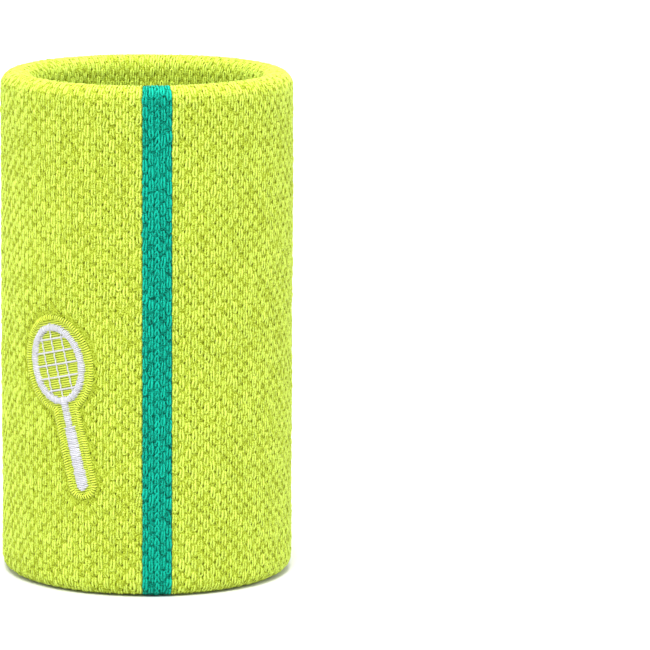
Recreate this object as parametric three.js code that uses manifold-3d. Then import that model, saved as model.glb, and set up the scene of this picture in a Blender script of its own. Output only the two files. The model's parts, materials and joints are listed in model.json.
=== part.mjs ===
// A long sweat wristband: one knitted tube folded back inside itself, so that it has a fold at each end,
// an outer layer, a lining, and a ring seam in the lining that joins the two cut ends.
// Between the layers lie the loop pile, the elastic inlay and the back of the embroidered mark.
// Millimetres, +Z up. The origin is the centre of the lower fold, and the stripe faces -Y.
import * as THREE from "three";
import { mergeVertices } from "three/addons/utils/BufferGeometryUtils.js";
import Module from "manifold-3d";

const wasm = await Module();
wasm.setup();

// Overall sizes
const bandHeight = 120;
const outerDiameter = 69;

// The layers of the wall, from the outside in
const knitThickness = 1.6;
const elasticDiameter = 0.5;
const pileThickness = 0.8;
const backingThickness = 0.25;
const bobbinThickness = 0.25;
const layerGap = 0.2; // between fabric, elastic and pile
const sheetGap = 0.15; // round the thin sheets behind the mark

// Folds
const foldRadius = 3.0; // outside corner radius of the fold at each end

// Knitted stripe
const stripeWidth = 7.0; // along the outer face
const knitJoin = 0.1; // between the stripe and the ground knit, on each side

// Ring seam in the lining
const seamHeight = 82;
const seamSlit = 0.3; // between the two turned cut ends
const looperThickness = 0.4;
const needleThreadWidth = 0.5;
const threadGap = 0.15; // between sewing thread and cloth
const seamClearance = 1.2; // along the height, between the seam and what stops short of it

// Stitches that close the turning gap, on the face of the lining
const tackWidth = 14;
const tackHeight = 3;
const tackThread = 0.45;
const tackPoints = 8;
const tackAzimuth = 180;

// Elastic inlay
const elasticPitch = 15;
const foldClearance = 1.5; // along the height, between the inlay and the start of a fold

// Embroidered mark: a plain racket, leaning to the left
const markAzimuth = -37.3;
const markHeight = 44.3;
const markLean = 14;
const headHalfWidth = 7.6;
const headHalfLength = 9.6;
const frameWidth = 1.8;
const shaftWidth = 1.9;
const shaftLength = 5.5;
const handleWidth = 3.0;
const handleLength = 15.0;
const handleRound = 1.2; // corner radius at the foot of the handle
const markMargin = 2.2; // from the racket to the edge of the border
const borderWidth = 1.5;
const stringSpacing = 3.0;
const stringWidth = 0.6;
const backingMargin = 3.0; // from the border to the edge of the backing
const groundThread = 0.4;
const borderThread = 0.8;
const motifThread = 0.5;
const stringThread = 0.3;
const markGap = 0.1; // between one thread layer of the mark and the next
const markJoin = 0.15; // between neighbouring thread areas of the mark

// Fineness
const ringSegments = 48;
const foldSegments = 4;
const helixSegments = 36;
const curveSegments = 10;

// Colours
const lime = 0xcfe83a;
const teal = 0x12b08c;
const white = 0xf4f4f6;
const ecru = 0xe9e6da;

// Radii of the layers
const outerRadius = outerDiameter / 2;
const outerKnitBack = outerRadius - knitThickness;
const outerElasticMiddle = outerKnitBack - layerGap - elasticDiameter / 2;
const outerPileFace = outerElasticMiddle - elasticDiameter / 2 - layerGap;
const outerPileBack = outerPileFace - pileThickness;
const backingFace = outerPileBack - sheetGap;
const backingBack = backingFace - backingThickness;
const bobbinFace = backingBack - markGap;
const bobbinBack = bobbinFace - bobbinThickness;
const innerPileBack = bobbinBack - sheetGap;
const innerPileFace = innerPileBack - pileThickness;
const innerElasticMiddle = innerPileFace - layerGap - elasticDiameter / 2;
const innerKnitBack = innerElasticMiddle - elasticDiameter / 2 - layerGap;
const innerRadius = innerKnitBack - knitThickness;

// Places along the height
const slitBottom = seamHeight - seamSlit / 2;
const slitTop = seamHeight + seamSlit / 2;
const seamZoneHalf = seamSlit / 2 + knitThickness + threadGap + looperThickness + seamClearance;
const seamZoneBottom = seamHeight - seamZoneHalf;
const seamZoneTop = seamHeight + seamZoneHalf;
const pileEnd = knitThickness + layerGap + elasticDiameter + layerGap; // from an end of the band

// The turned cut ends stop where their edge threads clear the sheets behind the mark.
const allowanceEdge = innerPileBack - looperThickness - threadGap;

const tau = 2 * Math.PI;
const radians = THREE.MathUtils.degToRad;

// A closed geometry as a solid that can be joined and cut.
function solid(geometry) {
  const bare = geometry.clone();
  bare.deleteAttribute("normal");
  bare.deleteAttribute("uv");
  const merged = mergeVertices(bare, 1e-5);
  return new wasm.Manifold(
    new wasm.Mesh({
      numProp: 3,
      vertProperties: merged.attributes.position.array,
      triVerts: new Uint32Array(merged.index.array),
    }),
  );
}

// The geometry of a solid.
function geometryOf(body) {
  const { vertProperties, triVerts, numProp, numVert } = body.getMesh();
  const places = new Float32Array(numVert * 3);
  for (let i = 0; i < numVert; i++) {
    places.set(vertProperties.subarray(i * numProp, i * numProp + 3), i * 3);
  }
  const made = new THREE.BufferGeometry();
  made.setAttribute("position", new THREE.BufferAttribute(places, 3));
  made.setIndex(new THREE.BufferAttribute(new Uint32Array(triVerts), 1));
  made.computeVertexNormals();
  return made;
}

// A ring about the Z axis, from a closed outline of [radius, height] points taken anticlockwise.
function ring(outline) {
  const points = [...outline, outline[0]].map(([r, z]) => new THREE.Vector2(r, z));
  return new THREE.LatheGeometry(points, ringSegments).rotateX(Math.PI / 2);
}

// A plain sleeve between two radii and two heights.
function sleeve(inner, outer, bottom, top) {
  return ring([
    [inner, bottom],
    [outer, bottom],
    [outer, top],
    [inner, top],
  ]);
}

// Points of a quarter circle about [r, z], from one angle to another in degrees.
function quarter(r, z, radius, from, to) {
  const points = [];
  for (let i = 0; i <= foldSegments; i++) {
    const angle = radians(from + ((to - from) * i) / foldSegments);
    points.push([r + radius * Math.cos(angle), z + radius * Math.sin(angle)]);
  }
  return points;
}

// One side of a folded layer: from the lining below the seam, round both folds, to the lining above it.
function foldedSide(inner, outer, bottom, top, corner, below, above) {
  return [
    [inner, below],
    ...quarter(inner + corner, bottom + corner, corner, 180, 270),
    ...quarter(outer - corner, bottom + corner, corner, 270, 360),
    ...quarter(outer - corner, top - corner, corner, 0, 90),
    ...quarter(inner + corner, top - corner, corner, 90, 180),
    [inner, above],
  ];
}

// The folded knit: two layers, two folds and the two turned cut ends of the ring seam.
function foldedKnit() {
  const face = foldedSide(innerRadius, outerRadius, 0, bandHeight, foldRadius, slitBottom, slitTop);
  const back = foldedSide(
    innerKnitBack,
    outerKnitBack,
    knitThickness,
    bandHeight - knitThickness,
    Math.max(foldRadius - knitThickness, 0.2),
    slitBottom - knitThickness,
    slitTop + knitThickness,
  ).reverse();
  return ring([
    ...face,
    [allowanceEdge, slitTop],
    [allowanceEdge, slitTop + knitThickness],
    ...back,
    [allowanceEdge, slitBottom - knitThickness],
    [allowanceEdge, slitBottom],
  ]);
}

// The loop pile on the back of the knit, folded with it and open where the ring seam lies.
function foldedPile() {
  const corner = Math.min(pileThickness, (outerPileFace - innerPileFace) / 2 - 0.1);
  const face = foldedSide(
    innerPileFace,
    outerPileFace,
    pileEnd,
    bandHeight - pileEnd,
    corner,
    seamZoneBottom,
    seamZoneTop,
  );
  const inside = [
    [innerPileBack, seamZoneTop],
    [innerPileBack, bandHeight - pileEnd - pileThickness],
    [outerPileBack, bandHeight - pileEnd - pileThickness],
    [outerPileBack, pileEnd + pileThickness],
    [innerPileBack, pileEnd + pileThickness],
    [innerPileBack, seamZoneBottom],
  ];
  return ring([...face, ...inside]);
}

// A wedge of the stripe's width, less or more a little on each side, through the whole band.
function stripeWedge(grow) {
  const reach = outerDiameter;
  const halfAngle = (stripeWidth / 2 + grow) / outerRadius;
  const across = reach * Math.tan(halfAngle);
  const outline = new THREE.Shape([
    new THREE.Vector2(0, 0),
    new THREE.Vector2(-across, -reach),
    new THREE.Vector2(across, -reach),
  ]);
  const wedge = new THREE.ExtrudeGeometry(outline, {
    depth: 3 * bandHeight,
    bevelEnabled: false,
  });
  return solid(wedge.translate(0, 0, -bandHeight));
}

// A covered elastic thread wound round the Z axis at one radius.
class Helix extends THREE.Curve {
  constructor(radius, bottom, top) {
    super();
    Object.assign(this, { radius, bottom, top, turns: (top - bottom) / elasticPitch });
  }

  getPoint(t, target = new THREE.Vector3()) {
    const angle = tau * this.turns * t;
    const z = this.bottom + (this.top - this.bottom) * t;
    return target.set(this.radius * Math.cos(angle), this.radius * Math.sin(angle), z);
  }
}

function elasticThread(radius, bottom, top) {
  const section = new THREE.Shape();
  for (let i = 0; i < 4; i++) {
    const angle = (tau * i) / 4;
    const x = (elasticDiameter / 2) * Math.cos(angle);
    const y = (elasticDiameter / 2) * Math.sin(angle);
    if (i === 0) section.moveTo(x, y);
    else section.lineTo(x, y);
  }
  const path = new Helix(radius, bottom, top);
  return new THREE.ExtrudeGeometry(section, {
    steps: Math.ceil(helixSegments * path.turns),
    extrudePath: path,
  });
}

// One edge thread of the overlocked seam: an L-shaped ring over a cut end. side is 1 above the slit
// and -1 below it.
function looper(side) {
  const z = (offset) => seamHeight + side * offset;
  const cloth = seamSlit / 2 + knitThickness;
  const covered = innerKnitBack + threadGap + needleThreadWidth + threadGap;
  const outline = [
    [covered, z(cloth + threadGap)],
    [allowanceEdge + threadGap, z(cloth + threadGap)],
    [allowanceEdge + threadGap, z(seamSlit / 2)],
    [allowanceEdge + threadGap + looperThickness, z(seamSlit / 2)],
    [allowanceEdge + threadGap + looperThickness, z(cloth + threadGap + looperThickness)],
    [covered, z(cloth + threadGap + looperThickness)],
  ];
  return ring(side > 0 ? outline : outline.reverse());
}

// The needle thread of the overlocked seam, lying on the upper cut end.
function needleThread() {
  const inner = innerKnitBack + threadGap;
  const bottom = seamHeight + seamSlit / 2 + knitThickness + threadGap;
  return sleeve(inner, inner + needleThreadWidth, bottom, bottom + looperThickness);
}

// A flat shape set on the wall at an azimuth and a height, leaning to the left, and cut to a sleeve between
// two radii. Azimuth 0 is -Y, and it grows towards +X.
function onWall(shapes, azimuth, height, lean, inner, outer) {
  const turn = radians(azimuth);
  const place = new THREE.Matrix4().makeBasis(
    new THREE.Vector3(Math.cos(turn), Math.sin(turn), 0),
    new THREE.Vector3(0, 0, 1),
    new THREE.Vector3(Math.sin(turn), -Math.cos(turn), 0),
  );
  place.setPosition(0, 0, height);
  const prisms = shapes.map((shape) => {
    const prism = new THREE.ExtrudeGeometry(shape, {
      depth: outerDiameter,
      bevelEnabled: false,
      curveSegments,
    });
    return solid(prism.rotateZ(radians(lean)).applyMatrix4(place));
  });
  const joined = prisms.reduce((a, b) => a.add(b));
  return joined.intersect(solid(sleeve(inner, outer, -bandHeight, 2 * bandHeight)));
}

// The racket's outline grown by a margin: a head, and a shaft or handle below it.
const headCentre = (shaftLength + handleLength) / 2;
const handleBottom = -headHalfLength - (shaftLength + handleLength) / 2;

function racketOutline(margin, gripWidth) {
  const a = headHalfWidth + margin;
  const b = headHalfLength + margin;
  const half = gripWidth / 2 + margin;
  const bottom = handleBottom - margin;
  const round = Math.min(half, handleRound + margin);
  const start = -Math.acos(half / a);
  const outline = new THREE.Shape();
  outline.moveTo(half - round, bottom);
  outline.absarc(half - round, bottom + round, round, -Math.PI / 2, 0, false);
  outline.absellipse(0, headCentre, a, b, start, Math.PI - start, false, 0);
  outline.absarc(-half + round, bottom + round, round, Math.PI, 1.5 * Math.PI, false);
  return outline;
}

// The racket's frame: its head ring with a short shaft below.
function frameOutline() {
  const half = shaftWidth / 2;
  const start = -Math.acos(half / headHalfWidth);
  const outline = new THREE.Shape();
  const shaftEnd = headCentre - headHalfLength - shaftLength + markJoin;
  outline.moveTo(-half, shaftEnd);
  outline.lineTo(half, shaftEnd);
  outline.absellipse(0, headCentre, headHalfWidth, headHalfLength, start, Math.PI - start, false, 0);
  const opening = new THREE.Path();
  const a = headHalfWidth - frameWidth;
  const b = headHalfLength - frameWidth;
  opening.absellipse(0, headCentre, a, b, 0, tau, true, 0);
  outline.holes.push(opening);
  return outline;
}

function handleOutline() {
  const half = handleWidth / 2;
  const top = headCentre - headHalfLength - shaftLength;
  const round = handleRound;
  const outline = new THREE.Shape();
  outline.moveTo(-half + round, handleBottom);
  outline.absarc(half - round, handleBottom + round, round, -Math.PI / 2, 0, false);
  outline.lineTo(half, top);
  outline.lineTo(-half, top);
  outline.absarc(-half + round, handleBottom + round, round, Math.PI, 1.5 * Math.PI, false);
  return outline;
}

// A rectangle of a width and height about a point.
function rectangle(x, y, width, height) {
  return new THREE.Shape([
    new THREE.Vector2(x - width / 2, y - height / 2),
    new THREE.Vector2(x + width / 2, y - height / 2),
    new THREE.Vector2(x + width / 2, y + height / 2),
    new THREE.Vector2(x - width / 2, y + height / 2),
  ]);
}

// The strings: a grid that stops short of the inside of the head.
function stringGrid(inner, outer) {
  const a = headHalfWidth - frameWidth - markJoin;
  const b = headHalfLength - frameWidth - markJoin;
  const lines = [];
  for (let i = -Math.floor(a / stringSpacing); i * stringSpacing < a; i++) {
    lines.push(rectangle(i * stringSpacing, headCentre, stringWidth, 2 * b));
  }
  for (let i = -Math.floor(b / stringSpacing); i * stringSpacing < b; i++) {
    lines.push(rectangle(0, headCentre + i * stringSpacing, 2 * a, stringWidth));
  }
  const head = new THREE.Shape();
  head.absellipse(0, headCentre, a, b, 0, tau, false, 0);
  const grid = onWall(lines, markAzimuth, markHeight, markLean, inner, outer);
  return grid.intersect(onWall([head], markAzimuth, markHeight, markLean, inner, outer));
}

// The zigzag that closes the turning gap, across the ring seam on the face of the lining.
function tackOutline() {
  const outline = new THREE.Shape();
  const step = tackWidth / tackPoints;
  const height = (i) => (i % 2 ? 1 : -1) * (tackHeight / 2 - tackThread);
  const along = (i) => -tackWidth / 2 + i * step;
  outline.moveTo(along(0), height(0) + tackThread);
  for (let i = 0; i <= tackPoints; i++) outline.lineTo(along(i), height(i) - tackThread);
  for (let i = tackPoints; i > 0; i--) outline.lineTo(along(i), height(i) + tackThread);
  return outline;
}

const band = new THREE.Group();

function add(name, geometry, color, roughness = 0.9) {
  const material = new THREE.MeshStandardMaterial({ color, roughness, metalness: 0 });
  const mesh = new THREE.Mesh(geometry, material);
  mesh.name = name;
  band.add(mesh);
}

function addFabric() {
  const knit = solid(foldedKnit());
  add("knit_tube", geometryOf(knit.subtract(stripeWedge(knitJoin))), lime);
  add("stripe", geometryOf(knit.intersect(stripeWedge(0))), teal);
  add("pile_tube", foldedPile(), lime, 1);
}

function addElastic() {
  const low = foldRadius + foldClearance;
  const high = bandHeight - foldRadius - foldClearance;
  add("elastic_outer", elasticThread(outerElasticMiddle, low, high), ecru, 0.7);
  add("elastic_lining_upper", elasticThread(innerElasticMiddle, seamZoneTop, high), ecru, 0.7);
  add("elastic_lining_lower", elasticThread(innerElasticMiddle, low, seamZoneBottom), ecru, 0.7);
}

function addSeam() {
  add("overlock_needle_thread", needleThread(), lime, 0.6);
  add("overlock_upper_looper", looper(1), lime, 0.6);
  add("overlock_lower_looper", looper(-1), lime, 0.6);
  const face = innerRadius - markGap;
  const tack = onWall([tackOutline()], tackAzimuth, seamHeight, 0, face - tackThread, face);
  add("closing_tack", geometryOf(tack), lime, 0.6);
}

function addMark() {
  const set = (shapes, inner, outer) =>
    geometryOf(onWall(shapes, markAzimuth, markHeight, markLean, inner, outer));
  const base = outerRadius + markGap;
  const motifBase = base + groundThread + markGap;

  const border = racketOutline(markMargin, handleWidth);
  border.holes.push(racketOutline(markMargin - borderWidth, handleWidth));
  const ground = racketOutline(markMargin - borderWidth - markJoin, handleWidth);
  add("mark_border", set([border], base, base + borderThread), lime, 0.5);
  add("mark_ground", set([ground], base, base + groundThread), lime, 0.5);
  add("mark_frame", set([frameOutline()], motifBase, motifBase + motifThread), white, 0.45);
  add("mark_handle", set([handleOutline()], motifBase, motifBase + motifThread), white, 0.45);
  const strings = stringGrid(motifBase, motifBase + stringThread);
  add("mark_strings", geometryOf(strings), white, 0.45);

  const stitched = racketOutline(markMargin, handleWidth);
  add("mark_bobbin_thread", set([stitched], bobbinBack, bobbinFace), white, 0.6);
  const half = headHalfWidth + markMargin + backingMargin;
  const high = headCentre + headHalfLength + markMargin + backingMargin;
  const sheet = rectangle(0, 0, 2 * half, 2 * high);
  add("mark_backing", set([sheet], backingBack, backingFace), white, 1);
}

addFabric();
addElastic();
addSeam();
addMark();

export default band;
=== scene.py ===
import json
import math

import bpy
from bpy.props import FloatProperty, FloatVectorProperty, IntProperty, PointerProperty
from bpy.types import Operator, Panel, PropertyGroup
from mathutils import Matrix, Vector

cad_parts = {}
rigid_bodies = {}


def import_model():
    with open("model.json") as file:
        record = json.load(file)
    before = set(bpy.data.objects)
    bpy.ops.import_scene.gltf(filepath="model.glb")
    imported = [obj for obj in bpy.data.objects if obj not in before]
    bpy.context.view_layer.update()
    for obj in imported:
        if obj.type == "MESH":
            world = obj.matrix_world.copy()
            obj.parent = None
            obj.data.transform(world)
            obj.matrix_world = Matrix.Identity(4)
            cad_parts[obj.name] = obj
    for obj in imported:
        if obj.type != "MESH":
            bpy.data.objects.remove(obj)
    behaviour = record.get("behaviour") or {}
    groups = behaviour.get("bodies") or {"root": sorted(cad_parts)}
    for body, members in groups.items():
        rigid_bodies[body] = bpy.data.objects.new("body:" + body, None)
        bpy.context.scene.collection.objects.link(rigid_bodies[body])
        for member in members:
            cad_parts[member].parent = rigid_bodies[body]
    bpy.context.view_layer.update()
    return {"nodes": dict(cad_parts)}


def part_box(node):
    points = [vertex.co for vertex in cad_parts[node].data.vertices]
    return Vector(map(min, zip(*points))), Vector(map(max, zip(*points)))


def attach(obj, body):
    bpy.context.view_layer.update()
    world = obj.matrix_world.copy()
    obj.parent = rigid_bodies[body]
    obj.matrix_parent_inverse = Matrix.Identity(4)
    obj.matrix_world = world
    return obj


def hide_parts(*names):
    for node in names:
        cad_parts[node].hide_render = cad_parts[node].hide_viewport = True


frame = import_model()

bl_info = {
    "name": "Sweat Wristband",
    "version": (1, 0, 0),
    "blender": (4, 5, 0),
    "location": "3D Viewport > Sidebar > Wristband",
    "description": "Knits a long folded sweat wristband with a stripe and an embroidered racket",
    "category": "Add Mesh",
}

# Sizes that the frame gives, in metres.
TUBE_LOW, TUBE_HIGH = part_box("knit_tube")
STRIPE_LOW, STRIPE_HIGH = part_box("stripe")
TACK_LOW, TACK_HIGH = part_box("closing_tack")
OUTER_RADIUS = (TUBE_HIGH[0] - TUBE_LOW[0]) / 2
HEIGHT = TUBE_HIGH[2]
STRIPE_WIDTH = STRIPE_HIGH[0] - STRIPE_LOW[0]
SEAM_HEIGHT = (TACK_LOW[2] + TACK_HIGH[2]) / 2

MM = 0.001
BAKE_MAP = "OFBake"  # the name of the bake map; the name the export looks for
YARN_MAP = "yarn"  # along and round the yarn, from 0 to 1
CELL_MARGIN = 0.06  # of a cell of the bake map, on each side
CELLS_IN_ROW = 32  # cells of the bake map in a row and in a column, for satin stitches

# The cloth.
FOLD_POINTS = 16  # points of the cloth's path round each fold
FOLD_RELIEF = 0.35  # how much of its relief the knit keeps where it is pulled over a fold
SWELL_SCALE = 28.0  # noise scale of the cloth's waviness
GROUND_LENGTH_STEPS = 240  # steps of the ground's mesh along the path, round the ground and round the stripe
GROUND_STEPS = 180
STRIPE_GROUND_STEPS = 9

# The stitches.
FLATTENED = 0.75  # a stitch's yarn is pressed flatter than round by this
WANDER_SCALE = 620.0  # noise scale of the yarn's wandering
WANDER = 0.95  # how far the yarn wanders, as a share of a leg's thickness
SECTORS = 4  # pieces that the ground's stitches are made in, round the band
FACE_COURSES = 46  # courses of the outer face with both folds
TOP_COURSES = 4  # how many of them go over the top fold
FACE_YARN = {"Rings": 12, "Sides": 5}  # points of a stitch's loop and sides of its yarn
LINING_YARN = {"Rings": 10, "Sides": 4}

# The mark.
ARCH_POINTS = 7  # points of a satin stitch
THREAD_SIDES = 4
FILL_RUN = 4.0 * MM  # length of a stitch of the fill
STRING_RUN = 1.5 * MM  # length of a stitch of the strings
FOOT_CORNER = 1.2 * MM  # radius of the handle's corners
CORNER_STEPS = 8
HEAD_STEPS = 64  # points round the head of the outline, and round the frame's ring
RING_STEPS = 72
FOOT_GAP = 0.2 * MM  # how far short of the racket's foot the handle's stitches stop
STRING_TUCK = 0.2 * MM  # how far the strings go under the frame

# Painted shade in the gaps round a stitch: the place and the size, in wales and courses, the slants and the
# depth.
GAPS = (
    ((0.93, 1.03), (0.14, 0.12), (0.5, 0.0), 1.0),
    ((0.52, 0.84), (0.1, 0.14), (0.0, 0.0), 1.0),
    ((0.27, 1.06), (0.22, 0.06), (0.0, 0.35), 0.4),
)
PAINTED_LIGHT = 0.28  # painted light: how much lighter the yarn and its ground are painted on the lining and over the upper fold
FIBRE_SCALE = 3600.0  # noise scale of the yarn's fibres

# The stage.
FLOOR_REACH = 8.0
# A lamp's kind, place, spread and power. The spread is a sun's angle in degrees or a softbox's side in m.
LIGHTS = {
    "sun": ("SUN", (-0.25, -1.15, 1.8), 25.0, 2.8),
    "top_softbox": ("AREA", (0.0, 0.1, 1.3), 0.8, 9.0),
    "left_softbox": ("AREA", (-1.3, -0.5, 1.0), 1.0, 6.5),
    "right_softbox": ("AREA", (1.3, -0.5, 1.0), 1.0, 6.5),
    "back_softbox": ("AREA", (0.5, 1.3, 0.8), 1.0, 5.0),
}


# ---------------------------------------------------------------- settings


def length(name, description, default):
    return FloatProperty(name=name, description=description, default=default, unit="LENGTH", precision=5)


def angle(name, description, degrees):
    return FloatProperty(
        name=name, description=description, default=math.radians(degrees), subtype="ANGLE"
    )


def number(name, description, default):
    return FloatProperty(name=name, description=description, default=default)


def count(name, description, default):
    return IntProperty(name=name, description=description, default=default, min=1)


def colour(name, description, default):
    return FloatVectorProperty(
        name=name, description=description, default=default, size=3, subtype="COLOR", min=0, max=1
    )


class WristbandKnit(PropertyGroup):
    outer_radius: length("Outer Radius", "Radius to the tops of the stitches", OUTER_RADIUS)
    height: length("Height", "From the lower fold to the upper one", HEIGHT)
    wall: length("Wall", "Thickness of the folded wall", 7.5 * MM)
    foot: length("Foot", "How far the lower fold is pressed flat by standing", 0.5 * MM)
    seam_height: length("Seam Height", "Height of the ring seam in the lining", SEAM_HEIGHT)
    groove: length("Seam Groove", "Depth of the groove at the ring seam", 1.1 * MM)
    wales: count("Wales", "Columns of stitches in the ground, an even number", 136)
    course: length("Course", "Height of one stitch", 3.1 * MM)
    leg: length("Leg", "Thickness of a stitch's legs at the widest", 0.68 * MM)
    irregular: number("Irregularity", "How uneven the stitches are, from 0 to 1", 1.0)
    waviness: length("Waviness", "How far the cloth strays from a true cylinder", 0.25 * MM)
    ground_depth: length("Ground Depth", "From the yarn's middle down to the ground", -0.13 * MM)
    ground_thickness: length("Ground Thickness", "Thickness of the cloth's ground", 0.5 * MM)


class WristbandStripe(PropertyGroup):
    width: length("Width", "Width of the stripe on the outer face", STRIPE_WIDTH)
    wales: count("Side Wales", "Columns on each side of the middle one", 2)
    leg: length("Leg", "Thickness of a stitch's legs at the widest", 0.7 * MM)


class WristbandMark(PropertyGroup):
    azimuth: angle("Azimuth", "Place round the band, from the middle of the stripe", -37.3)
    height: length("Height", "Height of the racket's middle", 44.3 * MM)
    lean: angle("Lean", "How far the racket leans to the left", 14)
    head_width: length("Head Half Width", "Half the width of the racket's head", 7.6 * MM)
    head_length: length("Head Half Length", "Half the length of the racket's head", 9.6 * MM)
    frame: length("Frame", "Width of the head's frame", 1.8 * MM)
    shaft: length("Shaft", "Length of the shaft", 5.5 * MM)
    shaft_width: length("Shaft Width", "Width of the shaft", 1.9 * MM)
    handle: length("Handle", "Length of the handle", 15.0 * MM)
    handle_width: length("Handle Width", "Width of the handle", 3.0 * MM)
    margin: length("Margin", "From the racket to the outside of the border", 2.2 * MM)
    border: length("Border", "Width of the border", 1.5 * MM)
    string_gap: length("String Gap", "From one string to the next", 3.0 * MM)
    thread: length("Thread", "Diameter of the embroidery thread", 0.42 * MM)
    pitch: length("Pitch", "From one satin stitch of the racket to the next", 0.42 * MM)
    border_pitch: length("Border Pitch", "From one satin stitch of the border to the next", 0.58 * MM)
    fill_step: length("Fill Step", "From one thread of the fill to the next", 0.55 * MM)
    press: length("Press", "How far the stitching presses the knit in", 0.45 * MM)
    press_reach: length("Press Reach", "How far from the stitching the knit is pressed in", 1.1 * MM)


class WristbandColours(PropertyGroup):
    lime: colour("Lime", "Ground knit", (0.62, 0.77, 0.11))
    # Deep lime is painted shade: the colour of the yarn where it lies deep, and of the ground and the gaps
    # between and under the stitches.
    lime_shade: colour("Deep Lime", "Between and under the ground's stitches", (0.33, 0.405, 0.006))
    teal: colour("Teal", "Stripe", (0.002, 0.43, 0.3))
    # Deep teal is painted shade in the same way.
    teal_shade: colour("Deep Teal", "Between and under the stripe's stitches", (0.0, 0.115, 0.074))
    lime_thread: colour("Lime Thread", "Border and fill of the mark", (0.66, 0.77, 0.06))
    white_thread: colour("White Thread", "The racket", (0.63, 0.63, 0.69))
    elastic: colour("Elastic", "Covered elastic thread", (0.8, 0.77, 0.66))
    backing: colour("Backing", "Nonwoven sheet behind the mark", (0.85, 0.85, 0.83))
    floor: colour("Floor", "Floor and surroundings", (0.84, 0.84, 0.84))


class WristbandStage(PropertyGroup):
    distance: length("Distance", "From the camera to the middle of the band", 1.15)
    pitch: angle("Pitch", "How far the camera looks down", 9.9)
    turn: angle("Turn", "How far the camera stands to the left of the stripe", 4.0)
    lens: number("Lens", "Focal length on a 36 mm sensor, in mm", 267.5)
    shift_x: number("Shift X", "Puts the band in the left half of the view", 0.274)
    shift_y: number("Shift Y", "Raises the band a little in the view", -0.0085)


# ---------------------------------------------------------------- node trees


def socket_named(sockets, key):
    """A socket by its place, or by its name among those in use."""
    if isinstance(key, int):
        return sockets[key]
    return next(socket for socket in sockets if socket.enabled and socket.name == key)


class Field:
    """A node's output. Arithmetic on it adds Math nodes to its tree."""

    def __init__(self, graph, socket):
        self.graph = graph
        self.socket = socket

    def out(self, key):
        return Field(self.graph, socket_named(self.socket.node.outputs, key))

    def __add__(self, other):
        return self.graph.math("ADD", self, other)

    def __radd__(self, other):
        return self.graph.math("ADD", other, self)

    def __sub__(self, other):
        return self.graph.math("SUBTRACT", self, other)

    def __rsub__(self, other):
        return self.graph.math("SUBTRACT", other, self)

    def __mul__(self, other):
        return self.graph.math("MULTIPLY", self, other)

    def __rmul__(self, other):
        return self.graph.math("MULTIPLY", other, self)

    def __truediv__(self, other):
        return self.graph.math("DIVIDE", self, other)

    def __rtruediv__(self, other):
        return self.graph.math("DIVIDE", other, self)

    def __neg__(self):
        return self.graph.math("MULTIPLY", self, -1)

    def __mod__(self, other):
        return self.graph.math("FLOORED_MODULO", self, other)

    def __pow__(self, other):
        return self.graph.math("POWER", self, other)

    def __gt__(self, other):
        return self.graph.math("GREATER_THAN", self, other)


class Graph:
    """A node tree that is written as expressions."""

    def __init__(self, tree):
        self.tree = tree

    def feed(self, socket, value):
        if isinstance(value, Field):
            self.tree.links.new(value.socket, socket)
        else:
            socket.default_value = value

    def add(self, kind, settings=None, sockets=None, out=0):
        node = self.tree.nodes.new(kind)
        for name, value in (settings or {}).items():
            if name == "stops":
                self.set_stops(node.color_ramp, value)
            else:
                setattr(node, name, value)
        for key, value in (sockets or {}).items():
            self.feed(socket_named(node.inputs, key), value)
        return Field(self, socket_named(node.outputs, out)) if node.outputs else node

    def set_stops(self, ramp, stops):
        while len(ramp.elements) < len(stops):
            ramp.elements.new(1)
        for element, (place, shade) in zip(ramp.elements, stops):
            element.position = place
            element.color = (*shade, 1) if len(shade) == 3 else shade

    def math(self, operation, *values):
        return self.add("ShaderNodeMath", {"operation": operation}, dict(enumerate(values)))

    def vector(self, operation, *values):
        return self.add("ShaderNodeVectorMath", {"operation": operation}, dict(enumerate(values)))

    def stretched(self, vector, factor):
        longer = self.vector("SCALE", vector)
        self.feed(longer.socket.node.inputs["Scale"], factor)
        return longer

    def xyz(self, x=0.0, y=0.0, z=0.0):
        return self.add("ShaderNodeCombineXYZ", None, {0: x, 1: y, 2: z})

    def grey(self, value):
        return self.xyz(value, value, value)

    def parts(self, vector):
        split = self.add("ShaderNodeSeparateXYZ", None, {0: vector})
        return split, split.out(1), split.out(2)

    def noise(self, place, scale, detail=2.0, roughness=0.5, out="Fac"):
        kind = "ShaderNodeTexNoise"
        sockets = {"Vector": place, "Scale": scale, "Detail": detail, "Roughness": roughness}
        return self.add(kind, None, sockets, out)

    def spread(self, value, low, high, to_low=0.0, to_high=1.0):
        """The value, with the range from low to high stretched to another one and clamped to it."""
        sockets = {"Value": value, "From Min": low, "From Max": high, "To Min": to_low, "To Max": to_high}
        return self.add("ShaderNodeMapRange", {"clamp": True}, sockets)

    def ramp(self, value, *stops):
        """A colour that follows a value. Each stop is a place and a colour."""
        return self.add("ShaderNodeValToRGB", {"stops": stops}, {"Fac": value}, "Color")

    def mix(self, blend, factor, a, b):
        settings = {"data_type": "RGBA", "blend_type": blend}
        return self.add("ShaderNodeMix", settings, {"Factor": factor, "A": a, "B": b}, "Result")

    def attribute(self, name):
        return self.add("ShaderNodeAttribute", {"attribute_name": name}, None, "Fac")

    def object_place(self):
        return self.add("ShaderNodeTexCoord", None, None, "Object")


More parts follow.
